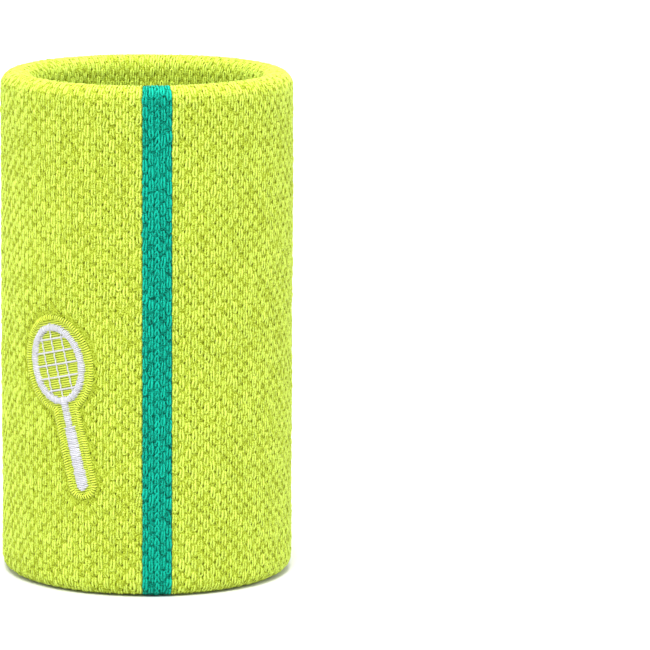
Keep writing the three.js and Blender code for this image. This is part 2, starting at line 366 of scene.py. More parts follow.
class Cloth(Graph):
    """A Geometry Nodes tree with named inputs that ends in Realize Instances and Set Material."""

    def __init__(self, name, inputs):
        super().__init__(bpy.data.node_groups.new(name, "GeometryNodeTree"))
        interface = self.tree.interface
        interface.new_socket("Geometry", in_out="INPUT", socket_type="NodeSocketGeometry")
        for label, kind in inputs.items():
            interface.new_socket(label, in_out="INPUT", socket_type="NodeSocket" + kind)
        interface.new_socket("Material", in_out="INPUT", socket_type="NodeSocketMaterial")
        interface.new_socket("Geometry", in_out="OUTPUT", socket_type="NodeSocketGeometry")
        self.entry = self.add("NodeGroupInput")

    def input(self, name):
        return self.entry.out(name)

    def position(self):
        return self.add("GeometryNodeInputPosition")

    def index(self):
        return self.add("GeometryNodeInputIndex")

    def named(self, name):
        return self.add("GeometryNodeInputNamedAttribute", {"data_type": "FLOAT"}, {"Name": name})

    def store(self, geometry, name, value, domain="POINT", kind="FLOAT"):
        settings = {"data_type": kind, "domain": domain}
        sockets = {"Geometry": geometry, "Name": name, "Value": value}
        return self.add("GeometryNodeStoreNamedAttribute", settings, sockets)

    def shape_of(self, name):
        """The shape of the object that an input names."""
        sockets = {"Object": self.input(name)}
        return self.add("GeometryNodeObjectInfo", {"transform_space": "ORIGINAL"}, sockets, "Geometry")

    def place(self, geometry, position):
        sockets = {"Geometry": geometry, "Position": position}
        return self.add("GeometryNodeSetPosition", None, sockets)

    def random(self, low, high, seed):
        """A random number for each point or instance. seed sets one use apart from another."""
        seeds = self.input("Seed") + seed
        sockets = {"Min": low, "Max": high, "Seed": seeds}
        return self.add("FunctionNodeRandomValue", {"data_type": "FLOAT"}, sockets, "Value")

    def circle(self, points):
        sockets = {"Resolution": points, "Radius": 1.0}
        return self.add("GeometryNodeCurvePrimitiveCircle", {"mode": "RADIUS"}, sockets)

    def tube(self, curve, radius, sides, caps):
        """A tube along a curve. Its points carry how far round they are, in sides."""
        profile = self.store(self.circle(sides), "side", self.index())
        thick = self.add("GeometryNodeSetCurveRadius", None, {"Curve": curve, "Radius": radius})
        sockets = {"Curve": thick, "Profile Curve": profile, "Fill Caps": caps}
        mesh = self.add("GeometryNodeCurveToMesh", None, sockets)
        node = mesh.socket.node
        if "Scale" in node.inputs:
            self.feed(node.inputs["Scale"], self.add("GeometryNodeInputRadius"))
        return mesh

    def repeated(self, points, stitch, turn, size):
        """A copy of a stitch on each point, made real."""
        sockets = {
            "Points": points,
            "Instance": stitch,
            "Rotation": self.add("FunctionNodeEulerToRotation", None, {0: turn}),
            "Scale": size,
        }
        placed = self.add("GeometryNodeInstanceOnPoints", None, sockets)
        return self.add("GeometryNodeRealizeInstances", None, {"Geometry": placed})

    def lay(self, geometry, turn, along, depth):
        """Lays flat work on the folded cloth: turn is the azimuth, along the place on the cloth's path from
        the ring seam, and depth how far it stands proud of the middle of the yarn."""
        sockets = {"Curves": self.shape_of("Path"), "Length": along}
        sample = self.add("GeometryNodeSampleCurve", {"mode": "LENGTH"}, sockets, "Position")
        radius, _, height = self.parts(sample)
        tangent_r, _, tangent_z = self.parts(self.vector("NORMALIZE", sample.out("Tangent")))
        pulled_flat = FOLD_RELIEF + self.math("ABSOLUTE", tangent_z) * (1 - FOLD_RELIEF)
        sine = self.math("SINE", turn)
        cosine = self.math("COSINE", turn)
        start = self.xyz(radius * sine, -(radius * cosine), height)
        swell = (self.noise(start, SWELL_SCALE, 1.0) - 0.5) * self.input("Waviness") * 2
        proud = depth * pulled_flat + swell
        out = radius - tangent_z * proud
        return self.place(geometry, self.xyz(out * sine, -(out * cosine), height + tangent_r * proud))

    def unwrapped(self, geometry, rings, sides, cell_x, cell_y, cells_x, cells_y):
        """Two maps of each tube: one over the whole square, and one in its own cell of a grid of cells."""

        def past_seam(name, most):
            """A corner's number, where the faces that close the tube end at the most instead of at 0."""
            here = self.named(name)
            settings = {"data_type": "FLOAT", "domain": "FACE"}
            middle = self.add("GeometryNodeFieldOnDomain", settings, {"Value": here})
            # A corner is half a step from its face's middle, unless the face closes the tube.
            return here + ((middle - here) > 1.1) * most

        def in_cell(cell, share, cells):
            return (cell + CELL_MARGIN + share * (1 - 2 * CELL_MARGIN)) / cells

        along = past_seam("ring", rings) / rings
        across = past_seam("side", sides) / sides
        yarn = self.store(geometry, YARN_MAP, self.xyz(along, across), "CORNER", "FLOAT2")
        place = self.xyz(in_cell(cell_x, along, cells_x), in_cell(cell_y, across, cells_y))
        return self.store(yarn, BAKE_MAP, place, "CORNER", "FLOAT2")

    def finish(self, geometry):
        smooth = self.add("GeometryNodeSetShadeSmooth", None, {"Geometry": geometry})
        real = self.add("GeometryNodeRealizeInstances", None, {"Geometry": smooth})
        sockets = {"Geometry": real, "Material": self.input("Material")}
        painted = self.add("GeometryNodeSetMaterial", None, sockets)
        self.add("NodeGroupOutput", None, {"Geometry": painted})
        return self.tree


def pressed_in(g, cloth):
    """Sinks the cloth near the mark's border and fill."""
    reach = g.input("Press Reach")
    near = []
    for name in ("Border", "Fill"):
        settings, sockets = {"target_element": "POINTS"}, {0: g.shape_of(name)}
        distance = g.add("GeometryNodeProximity", settings, sockets, "Distance")
        near.append(g.math("EXPONENT", -((distance / reach) ** 2)))
    sink = g.math("MAXIMUM", *near) * g.input("Press")
    outward = g.vector("NORMALIZE", g.vector("MULTIPLY", g.position(), (1.0, 1.0, 0.0)))
    offset = g.stretched(outward, -sink)
    return g.add("GeometryNodeSetPosition", None, {"Geometry": cloth, "Offset": offset})


def knit_tree():
    """Columns of leaf-shaped stitches. Each is a closed loop of yarn whose two legs part low down. Reach is
    its height in courses, Square how blunt its ends are, and Tuck how far its narrow end goes under."""
    inputs = {
        "Path": "Object",
        "First Turn": "Float",
        "Turn": "Float",
        "Wales": "Int",
        "First Along": "Float",
        "Courses": "Int",
        "Course": "Float",
        "Offset": "Float",
        "Width": "Float",
        "Leg": "Float",
        "Reach": "Float",
        "Square": "Float",
        "Tuck": "Float",
        "Rings": "Int",
        "Sides": "Int",
        "Irregularity": "Float",
        "Waviness": "Float",
        "Border": "Object",
        "Fill": "Object",
        "Press": "Float",
        "Press Reach": "Float",
        "Seed": "Int",
    }
    g = Cloth("Knitted wales", inputs)
    courses, course, width = g.input("Courses"), g.input("Course"), g.input("Width")
    rings, leg, uneven = g.input("Rings"), g.input("Leg"), g.input("Irregularity")

    # One stitch, with its narrow end up. The angle runs from that end round the loop, and the numbers are
    # shares of the wale's width, the course's height and the leg's thickness.
    numbered = g.store(g.circle(rings), "ring", g.index())
    turn = g.index() / rings * math.tau
    cosine, sine = g.math("COSINE", turn), g.math("SINE", turn)
    double = g.math("COSINE", turn * 2)
    lean = (cosine - 1) * width * 0.05
    square = g.input("Square")
    across = sine * (1 - cosine * 0.3 + (double + 0.6) * square) * width * 0.27 + lean
    up = (cosine * 0.49 + 0.03) * course * g.input("Reach")
    rise = leg * (0.08 - cosine * g.input("Tuck") - double * 0.28 + sine * 0.07)
    loop = g.place(numbered, g.xyz(across, up, rise))
    thickness = leg * (0.37 - cosine * 0.035 - double * 0.03)
    stitch = g.tube(loop, thickness, g.input("Sides"), False)

    # Where the stitches go on the flat cloth. Every second column is half a course lower.
    total = g.input("Wales") * courses
    row = g.index() % courses
    column = g.math("FLOOR", g.index() / courses)
    down = (row + 0.5 + g.input("Offset") + (column % 2) * 0.5) * course
    flat = g.xyz((column + 0.5) * width, -down, 0.0)
    points = g.add("GeometryNodePoints", None, {"Count": total, "Position": flat})
    points = g.store(points, "wale", column)
    points = g.store(points, "course", row)
    points = g.store(points, "shade", g.random(0.0, 1.0, 1))

    # Each stitch strays from its place, turns a little and differs in size.
    stray_x = g.random(-0.06, 0.06, 2) * uneven * width
    stray_y = g.random(-0.06, 0.06, 3) * uneven * course
    stray_z = g.random(-0.12, 0.1, 4) * uneven * leg
    strayed = g.vector("ADD", g.position(), g.xyz(stray_x, stray_y, stray_z))
    points = g.place(points, strayed)
    tilt = g.xyz(0.0, g.random(-0.12, 0.12, 5) * uneven, g.random(-0.09, 0.09, 6) * uneven)
    wide, tall = g.random(-0.14, 0.12, 7), g.random(-0.06, 0.06, 8)
    real = g.repeated(points, stitch, tilt, g.xyz(1 + wide * uneven, 1 + tall * uneven, FLATTENED))

    # The yarn wanders a little, then the flat cloth is laid on its path.
    wander = g.noise(g.position(), WANDER_SCALE, 2.0, 0.75, out="Color")
    wander = g.vector("SUBTRACT", wander, (0.5, 0.5, 0.5))
    wander = g.stretched(wander, uneven * leg * WANDER)
    x, y, z = g.parts(g.vector("ADD", g.position(), wander))
    # The height of each point, which the yarn's material turns into painted shade.
    deep = g.store(real, "proud", z / leg)
    turned = g.input("First Turn") + x / width * g.input("Turn")
    laid = pressed_in(g, g.lay(deep, turned, g.input("First Along") - y, z))
    cells = (g.named("wale"), g.named("course"), g.input("Wales"), courses)
    return g.finish(g.unwrapped(laid, rings, g.input("Sides"), *cells))


def ground_tree():
    """The cloth under the stitches: a closed strip of it, laid on the path."""
    inputs = {
        "Path": "Object",
        "First Turn": "Float",
        "Turn": "Float",
        "Steps": "Int",
        "Length": "Float",
        "Length Steps": "Int",
        "Wales": "Int",
        "Course": "Float",
        "Depth": "Float",
        "Thickness": "Float",
        "Waviness": "Float",
    }
    g = Cloth("Cloth ground", inputs)
    sockets = {
        "Size": (1.0, 1.0, 1.0),
        "Vertices X": g.input("Steps"),
        "Vertices Y": g.input("Length Steps"),
        "Vertices Z": 2,
    }
    block = g.add("GeometryNodeMeshCube", None, sockets, "Mesh")
    x, y, z = g.parts(g.position())
    turned = g.input("First Turn") + (x + 0.5) * g.input("Turn")
    depth = (z - 0.5) * g.input("Thickness") - g.input("Depth")
    along = (0.5 - y) * g.input("Length")
    block = g.store(block, "wale", (x + 0.5) * g.input("Wales"))
    block = g.store(block, "course", along / g.input("Course"))
    return g.finish(g.lay(block, turned, along, depth))


MARK_INPUTS = {
    "Path": "Object",
    "Turn": "Float",
    "Radius": "Float",
    "Along": "Float",
    "Lean": "Float",
    "Thread": "Float",
    "Base": "Float",
    "Rise": "Float",
    "Pitch": "Float",
    "Waviness": "Float",
    "Seed": "Int",
}


def lay_mark(g, geometry):
    """Lays the mark, drawn flat about its own middle, on the cloth."""
    lean = g.input("Lean")
    x, y, z = g.parts(g.position())
    sine, cosine = g.math("SINE", lean), g.math("COSINE", lean)
    aside = x * cosine - y * sine
    up = x * sine + y * cosine
    return g.lay(geometry, g.input("Turn") + aside / g.input("Radius"), g.input("Along") - up, z)


def satin_tree():
    """Satin stitches across a line whose points' radius is half the width. Each is a low arch of thread."""
    g = Cloth("Satin stitches", MARK_INPUTS)
    thread, base, rise = g.input("Thread"), g.input("Base"), g.input("Rise")
    ends = {"Start": (-1, 0, 0), "End": (1, 0, 0)}
    line = g.add("GeometryNodeCurvePrimitiveLine", {"mode": "POINTS"}, ends)
    sockets = {"Curve": line, "Count": ARCH_POINTS}
    fine = g.add("GeometryNodeResampleCurve", {"mode": "COUNT"}, sockets)
    fine = g.store(fine, "ring", g.index())
    x, _, _ = g.parts(g.position())
    arch = 1 - (x * x) * (x * x)
    arched = g.place(fine, g.xyz(x, 0.0, base + rise * arch))
    stitch = g.tube(arched, thread / 2, THREAD_SIDES, True)

    sockets = {"Curve": g.input("Geometry"), "Length": g.input("Pitch")}
    marks = g.add("GeometryNodeCurveToPoints", {"mode": "LENGTH"}, sockets, "Points")
    tangent_x, tangent_y, _ = g.parts(marks.out("Tangent"))
    facing = g.math("ARCTAN2", tangent_y, tangent_x) + math.pi / 2 + g.random(-0.05, 0.05, 1)
    half = g.add("GeometryNodeInputRadius") + thread * g.random(-0.4, 0.4, 2)
    points = g.store(marks, "shade", g.random(0.0, 1.0, 3))
    points = g.store(points, "wale", g.index() % CELLS_IN_ROW)
    points = g.store(points, "course", g.math("FLOOR", g.index() / CELLS_IN_ROW))
    size = g.xyz(half, 1.0, 1 + g.random(-0.08, 0.08, 4))
    laid = lay_mark(g, g.repeated(points, stitch, g.xyz(0.0, 0.0, facing), size))
    cells = (g.named("wale"), g.named("course"), CELLS_IN_ROW, CELLS_IN_ROW)
    return g.finish(g.unwrapped(laid, ARCH_POINTS - 1, THREAD_SIDES, *cells))


def running_tree():
    """Threads along lines, dipping into the cloth at each end of a stitch. Pitch is a stitch's length."""
    g = Cloth("Running stitches", MARK_INPUTS)
    thread, base, rise = g.input("Thread"), g.input("Base"), g.input("Rise")
    sockets = {"Curve": g.input("Geometry"), "Length": g.input("Pitch") / 6}
    fine = g.add("GeometryNodeResampleCurve", {"mode": "LENGTH"}, sockets)
    spline = g.add("GeometryNodeSplineParameter")

    # The thread dips steeply at each end of a stitch, and more so at the ends of its line.
    run = spline.out("Length") / g.input("Pitch")
    dip = g.math("ABSOLUTE", g.math("SINE", run * math.pi)) ** 0.4
    end = 1 - g.math("ABSOLUTE", spline.out("Factor") * 2 - 1) ** 16
    x, y, _ = g.parts(g.position())
    arched = g.place(fine, g.xyz(x, y, base + rise * dip * end))
    return g.finish(lay_mark(g, g.tube(arched, thread / 2, THREAD_SIDES, True)))


# ---------------------------------------------------------------- making pieces


def in_scene(name, data):
    """A new object, linked to the scene."""
    piece = bpy.data.objects.new(name, data)
    bpy.context.scene.collection.objects.link(piece)
    return piece


def clear_of_scene(piece):
    data = piece.data
    bpy.data.objects.remove(piece)
    if data.users == 0:
        bpy.data.batch_remove([data])


def made_plain(name, holder, material):
    """What a holder's data and modifiers make, as a plain mesh object. The holder is deleted."""
    mesh = bpy.data.meshes.new_from_object(holder.evaluated_get(bpy.context.evaluated_depsgraph_get()))
    mesh.name = name
    if not mesh.polygons:
        raise RuntimeError(f"{name}: nothing was made")
    mesh.materials.clear()
    mesh.materials.append(material)
    holder.modifiers.clear()
    clear_of_scene(holder)
    return in_scene(name, mesh)


def made_by(tree, name, values, material, lines=()):
    """Runs a tree, on lines where there are some, and returns what it makes as an object of that name."""
    source = poly_curve(name, lines) if lines else bpy.data.meshes.new(name)
    holder = in_scene(name + ".source", source)
    modifier = holder.modifiers.new("Nodes", "NODES")
    modifier.node_group = tree
    for item in tree.interface.items_tree:
        if item.in_out == "INPUT" and item.name in values:
            modifier[item.identifier] = values[item.name]
        elif item.in_out == "INPUT" and item.name == "Material":
            modifier[item.identifier] = material
    return made_plain(name, holder, material)


def joined(name, pieces):
    """One object of all these pieces."""
    with bpy.context.temp_override(active_object=pieces[0], selected_editable_objects=pieces):
        bpy.ops.object.join()
    pieces[0].name = name
    pieces[0].data.name = name
    return pieces[0]


def finished(piece, slot, *nodes):
    """Rides the piece on the band and hides the nodes that it stands for."""
    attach(piece, "root")
    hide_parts(*nodes)


def poly_curve(name, lines):
    """A curve of straight-sided splines. Each line is a list of (x, y, z, radius)."""
    data = bpy.data.curves.new(name, "CURVE")
    data.dimensions = "3D"
    for points in lines:
        spline = data.splines.new("POLY")
        spline.points.add(len(points) - 1)
        for point, (x, y, z, radius) in zip(spline.points, points):
            point.co = (x, y, z, 1)
            point.radius = radius
    return data


def fold(centre, height, radius, rise, way):
    """Points of a half turn about a centre. way is 1 over the top fold and -1 under the lower one."""
    points = []
    for step in range(1, FOLD_POINTS):
        turn = math.pi * step / FOLD_POINTS
        points.append((centre - way * radius * math.cos(turn), height + way * rise * math.sin(turn)))
    return points


def cloth_path(knit):
    """The path of the middle of the yarn, as (radius, height) points from the ring seam up the lining, over
    the top, down the outer face, under the lower fold and up to the seam again."""
    half_leg = knit.leg * 0.5 * FLATTENED
    outer = knit.outer_radius - half_leg
    inner = knit.outer_radius - knit.wall + half_leg
    radius = (outer - inner) / 2
    middle = (outer + inner) / 2
    top = knit.height - half_leg - radius
    foot = radius - knit.foot
    low = half_leg + foot
    groove = knit.groove
    seam = knit.seam_height
    above = [
        (inner + groove, seam + 0.15 * groove),
        (inner + 0.5 * groove, seam + 0.22 * groove),
        (inner + 0.15 * groove, seam + 0.5 * groove),
        (inner, seam + 1.1 * groove),
    ]
    below = [(r, 2 * seam - z) for r, z in reversed(above)]
    over = [(inner, top), *fold(middle, top, radius, radius, 1), (outer, top)]
    under = [(outer, low), *fold(middle, low, radius, foot, -1), (inner, low)]
    return [*above, *over, *under, *below]


def path_length(points):
    return sum(math.dist(a, b) for a, b in zip(points, points[1:]))


def path_object(knit):
    points = [(r, 0.0, z, 1.0) for r, z in cloth_path(knit)]
    return in_scene("cloth_path", poly_curve("cloth_path", [points]))


def along_at(knit, height):
    """Where on the path the outer face has this height."""
    points = cloth_path(knit)
    outer = max(r for r, _ in points)
    place = next(i for i, (r, _) in enumerate(points) if abs(r - outer) < 1e-9)
    return path_length(points[: place + 1]) + points[place][1] - height


def courses_of(knit):
    """The number of courses along the path, and the height of one."""
    total = path_length(cloth_path(knit))
    courses = round(total / knit.course)
    return courses, total / (courses + 0.5)


def cloth_ground(name, knit, first_turn, turn, steps, wales, material):
    """The cloth under the stitches, for a part of the turn round the band."""
    values = {
        "Path": bpy.data.objects["cloth_path"],
        "First Turn": first_turn,
        "Turn": turn,
        "Steps": steps,
        "Length": path_length(cloth_path(knit)),
        "Length Steps": GROUND_LENGTH_STEPS,
        "Wales": wales,
        "Course": courses_of(knit)[1],
        "Depth": knit.ground_depth,
        "Thickness": knit.ground_thickness,
        "Waviness": knit.waviness,
    }
    return made_by(ground_tree(), name, values, material)


def stitch_values(knit, wale_turn, leg):
    """The inputs that most stitches share."""
    return {
        "Path": bpy.data.objects["cloth_path"],
        "Turn": wale_turn,
        "First Along": 0.0,
        "Course": courses_of(knit)[1],
        "Offset": 0.0,
        "Width": wale_turn * knit.outer_radius,
        "Leg": leg,
        "Reach": 1.0,
        "Square": 0.3,
        "Tuck": 0.13,
        "Irregularity": knit.irregular,
        "Waviness": knit.waviness,
    }


# ---------------------------------------------------------------- materials


def new_material(name, settings):
    """A new material with these settings of its shader, and the tools to go on with it."""
    material = bpy.data.materials.new(name)
    material.use_nodes = True
    shader = material.node_tree.nodes["Principled BSDF"]
    for key, value in settings.items():
        shader.inputs[key].default_value = value
    return material, Graph(material.node_tree), shader


def raised(g, shader, height, strength, distance):
    """Puts a relief on a material."""
    sockets = {"Strength": strength, "Distance": distance, "Height": height}
    g.feed(shader.inputs["Normal"], g.add("ShaderNodeBump", None, sockets))


def scaled(rgb, factor):
    return (*[min(max(c * factor, 0.0), 1.0) for c in rgb], 1.0)


def painted_light_share(g, place):
    """How much painted light a place gets: 1 over the upper fold, half down the lining, 0 on the outer face.
    """
    x, y, z = g.parts(place)
    out = g.math("SQRT", x * x + y * y)
    lining = g.spread(out, OUTER_RADIUS - 5 * MM, OUTER_RADIUS - 2 * MM, 0.5, 0.0)
    rim = g.spread(z, HEIGHT - 3 * MM, HEIGHT - 0.5 * MM)
    return g.math("MAXIMUM", lining, rim)


def fibres(g, place, contrast):
    """Fine fibres of yarn, as a noise about a half."""
    return (g.noise(place, FIBRE_SCALE, 1.0, 0.6) - 0.5) * contrast + 0.5


def plies(g, turns, round_turns):
    """A wave that runs slantwise round a yarn, as its plies do."""
    along, across, _ = g.parts(g.add("ShaderNodeUVMap", {"uv_map": YARN_MAP}))
    return g.math("SINE", (along * turns + across * round_turns) * math.tau)


def yarn_material(name, rgb, shade_rgb, sheen, sheen_tint, roughness):
    """Yarn with a soft sheen: stitches differ a little, the parts that lie deep are painted darker as shade,
    the lining and the upper fold are painted lighter as light, and the plies and fibres show as bump."""
    settings = {
        "Sheen Weight": sheen,
        "Sheen Roughness": 0.3,
        "Sheen Tint": sheen_tint,
        "Specular IOR Level": 0.12,
    }
    material, g, shader = new_material(name, settings)
    place = g.object_place()
    fine = fibres(g, place, 2.8)
    tone = g.attribute("shade") * 0.2 + g.noise(place, 45.0, 2.0) * 0.15 + fine * 0.65
    between = tuple((a * b) ** 0.5 for a, b in zip(rgb, shade_rgb))
    # Painted shade: the deeper a part of the yarn lies, the darker it is painted, with a random tone on top.
    height = g.spread(g.attribute("proud"), -0.24, 0.45) + (tone - 0.5) * 1.5
    lit = g.ramp(height, (0.0, shade_rgb), (0.5, between), (0.85, rgb))
    # Painted light: the yarn is painted lighter on the lining and over the upper fold, on top of its random
    # tone.
    brightness = g.grey(0.74 + tone * 0.5 + painted_light_share(g, place) * PAINTED_LIGHT)
    g.feed(shader.inputs["Base Color"], g.mix("MULTIPLY", 1.0, lit, brightness))
    g.feed(shader.inputs["Roughness"], roughness + (fine - 0.5) * 0.25)
    raised(g, shader, plies(g, 2.0, 3.0) * 0.4 + fine, 0.6, 0.12 * MM)
    return material


def gap_shade(g, wale, course):
    """How deep a gap between stitches is, from 0 to 1."""
    depths = []
    for (at_wale, at_course), (wide, tall), (slant_x, slant_y), dark in GAPS:
        column = g.math("ROUND", wale - at_wale)
        row = course - at_course - (column % 2) * 0.5
        below = row - g.math("ROUND", row)
        aside = wale - at_wale - column
        across, down = aside + below * slant_x, below - aside * slant_y
        depths.append(g.math("EXPONENT", -((across / wide) ** 2 + (down / tall) ** 2)) * dark)
    deepest = depths[0]
    for depth in depths[1:]:
        deepest = g.math("MAXIMUM", deepest, depth)
    return deepest


def ground_material(name, rgb, shade_rgb):
    """The flat cloth seen between stitches: a middle tone painted darker as shade, with fine ribs of yarn,
    and painted shade in the gaps round each stitch."""
    material, g, shader = new_material(name, {"Roughness": 0.95, "Specular IOR Level": 0.1})
    place = g.object_place()
    fine = fibres(g, place, 3.2)
    patchy = g.spread(g.noise(place, 450.0, 1.0), 0.3, 0.52)
    gap = gap_shade(g, g.attribute("wale"), g.attribute("course")) * patchy
    middle = tuple(a * 0.5 + b * 0.5 for a, b in zip(rgb, shade_rgb))
    # Painted shade: the ground takes the shaded colours, darker than the yarn above it.
    cloth = g.ramp(fine, (0.15, scaled(shade_rgb, 0.6)), (0.8, middle))
    # Painted light: the ground is painted lighter on the lining and over the upper fold.
    cloth = g.mix("MULTIPLY", 1.0, cloth, g.grey(1.0 + painted_light_share(g, place) * PAINTED_LIGHT))
    # Painted shade: near black in the gaps round each stitch.
    g.feed(shader.inputs["Base Color"], g.mix("MIX", gap, cloth, scaled(shade_rgb, 0.1)))
    raised(g, shader, fine - gap, 0.4, 0.1 * MM)
    return material


def thread_material(name, rgb, roughness):
    """Embroidery or sewing thread: a gloss along the filaments, and a fine twist."""
    material, g, shader = new_material(name, {"Sheen Weight": 0.15, "Specular IOR Level": 0.45})
    fine = g.noise(g.object_place(), 3200.0, 2.0, 0.6)
    tone = g.attribute("shade") * 0.6 + fine * 0.4
    g.feed(shader.inputs["Base Color"], g.ramp(tone, (0.2, scaled(rgb, 0.88)), (0.8, scaled(rgb, 1.04))))
    g.feed(shader.inputs["Roughness"], roughness + (fine - 0.5) * 0.2)
    raised(g, shader, plies(g, 7.0, 2.0) * 0.5 + fine, 0.3, 0.03 * MM)
    return material


def hidden_material(name, rgb, scale, roughness, depth):
    """A plain textile inside the wall: a noise of fibres or loops at the given scale."""
    material, g, shader = new_material(name, {})
    loops = g.noise(g.object_place(), scale, 3.0, 0.6)
    g.feed(shader.inputs["Base Color"], g.ramp(loops, (0.3, scaled(rgb, 0.8)), (0.7, scaled(rgb, 1.05))))
    g.feed(shader.inputs["Roughness"], roughness + (loops - 0.5) * 0.2)
    raised(g, shader, loops, 0.6, depth)
    return material


# ---------------------------------------------------------------- the racket's lines, drawn flat


def head_centre(mark):
    """The height of the head's middle over the racket's middle."""
    return (mark.shaft + mark.handle) / 2


def foot_of(mark):
    return -mark.head_length - head_centre(mark)


def ellipse(centre, a, b, start, end, steps):
    """Points of part of an ellipse. Angles are in radians from the right, anticlockwise."""
    turns = [start + (end - start) * i / steps for i in range(steps + 1)]
    return [(a * math.cos(t), centre + b * math.sin(t)) for t in turns]


def outline(mark, margin):
    """The racket's outline grown by a margin, anticlockwise from the foot: a head, with a grip as wide as
    the handle below it."""
    a, b = mark.head_width + margin, mark.head_length + margin
    half = mark.handle_width / 2 + margin
    low = foot_of(mark) - margin
    turn = min(half, FOOT_CORNER + margin)
    start = -math.acos(half / a)
    right = ellipse(low + turn, turn, turn, -math.pi / 2, 0, CORNER_STEPS)
    right = [(x + half - turn, y) for x, y in right]
    left = [(-x, y) for x, y in reversed(right)]
    head = ellipse(head_centre(mark), a, b, start, math.pi - start, HEAD_STEPS)
    return [*right, *head, *left]


def closed(points):
    return [*points, points[0]]


def chords(points, y):
    """Where a level line crosses an outline, as pairs of x."""
    crossings = []
    for (x0, y0), (x1, y1) in zip(points, closed(points)[1:]):
        if (y0 <= y) != (y1 <= y):
            crossings.append(x0 + (x1 - x0) * (y - y0) / (y1 - y0))
    crossings.sort()
    return list(zip(crossings[::2], crossings[1::2]))


def border_line(mark):
    half = mark.border / 2
    points = closed(outline(mark, mark.margin - half))
    return [[(x, y, 0.0, half) for x, y in points]]


def frame_lines(mark):
    """The head's ring and the shaft below it."""
    half = mark.frame / 2
    a, b = mark.head_width - half, mark.head_length - half
    centre = head_centre(mark)
    head = ellipse(centre, a, b, -math.pi / 2, 1.5 * math.pi, RING_STEPS)
    under = 0.4 * mark.frame  # how far the shaft goes under the ring
    top = centre - mark.head_length + under
    shaft = [(0.0, top), (0.0, top - mark.shaft - under)]
    ring = [(x, y, 0.0, half) for x, y in head]
    return [ring, [(x, y, 0.0, mark.shaft_width / 2) for x, y in shaft]]


def handle_line(mark):
    """The handle, with its width drawn in at the foot."""
    half = mark.handle_width / 2
    top = foot_of(mark) + mark.handle
    low = foot_of(mark) + FOOT_GAP
    line = [(0.0, top, 0.0, half), (0.0, low + FOOT_CORNER, 0.0, half)]
    steps = 4
    for step in range(1, steps + 1):
        turn = 0.5 * math.pi * step / steps
        narrow = half - FOOT_CORNER * (1 - math.cos(turn)) * 0.8
        line.append((0.0, low + FOOT_CORNER * (1 - math.sin(turn)), 0.0, narrow))
    return [line]


def string_places(half, gap):
    """Places of parallel strings, and each one's half length as a share of the longest."""
    most = int(half / gap)
    return [(i * gap, math.sqrt(max(1 - (i * gap / half) ** 2, 0))) for i in range(-most, most + 1)]


def string_lines(mark):
    """The strings: a grid inside the head."""
    a, b = mark.head_width - mark.frame, mark.head_length - mark.frame
    centre = head_centre(mark)
    lines = []
    for x, share in string_places(a, mark.string_gap):
        reach = b * share + STRING_TUCK
        lines.append([(x, centre - reach, 0.0, 1.0), (x, centre + reach, 0.0, 1.0)])
    for y, share in string_places(b, mark.string_gap):
        reach = a * share + STRING_TUCK
        lines.append([(-reach, centre + y, 0.0, 1.0), (reach, centre + y, 0.0, 1.0)])
    return lines


def fill_lines(mark):
    """Level threads that fill the inside and reach a little way under the border."""
    step = mark.fill_step
    points = outline(mark, mark.margin - 0.7 * mark.border)
    low = min(y for _, y in points)
    high = max(y for _, y in points)
    lines = []
    for i in range(1, int((high - low) / step)):
        y = low + i * step
        for x0, x1 in chords(points, y):
            lines.append([(x0, y, 0.0, 1.0), (x1, y, 0.0, 1.0)])
    return lines


# ---------------------------------------------------------------- operators


class WRISTBAND_OT_knit(Operator):
    """Knit the ground of the band: the cloth, its outer face with both folds, and its lining"""

    bl_idname = "wristband.knit"
    bl_label = "Knit the Band"

    def execute(self, context):
        knit = context.scene.wristband_knit
        stripe = context.scene.wristband_stripe
        mark = context.scene.wristband_mark
        colours = context.scene.wristband_colours
        half_stripe = stripe.width / 2 / knit.outer_radius
        around = math.tau - 2 * half_stripe
        sheen_tint = (0.85, 1.0, 0.5, 1.0)
        yarn = yarn_material("lime_yarn", colours.lime, colours.lime_shade, 0.28, sheen_tint, 0.7)
        cloth = ground_material("lime_ground", colours.lime, colours.lime_shade)
        ground = cloth_ground("cloth_ground", knit, half_stripe, around, GROUND_STEPS, knit.wales, cloth)
        finished(ground, "lime_knit", "knit_tube")

        courses, course = courses_of(knit)
        wales = knit.wales // SECTORS
        wale_turn = around / knit.wales
        face_from = int(along_at(knit, knit.height) / course) - TOP_COURSES
        face_to = face_from + FACE_COURSES
        shared = {
            **stitch_values(knit, wale_turn, knit.leg),
            "Wales": wales,
            "Border": bpy.data.objects["mark_border_stitches"],
            "Fill": bpy.data.objects["mark_fill_stitches"],
            "Press Reach": mark.press_reach,
        }
        rows = {
            "face": (face_from, face_to, {**FACE_YARN, "Press": mark.press}),
            "lining_upper": (0, face_from, LINING_YARN),
            "lining_lower": (face_to, courses, LINING_YARN),
        }
        tree = knit_tree()
        for sector in range(SECTORS):
            made = []
            for row, (first, last, yarn_values) in rows.items():
                values = {**shared, **yarn_values, "Courses": last - first, "First Along": first * course}
                values["First Turn"] = half_stripe + sector * wales * wale_turn
                values["Seed"] = 17 * sector + len(made)
                made.append(made_by(tree, f"knit_{row}_{sector + 1}", values, yarn))
            lining = joined(f"knit_lining_{sector + 1}", made[1:])
            for piece in (made[0], lining):
                finished(piece, "lime_knit", "knit_tube")
        return {"FINISHED"}


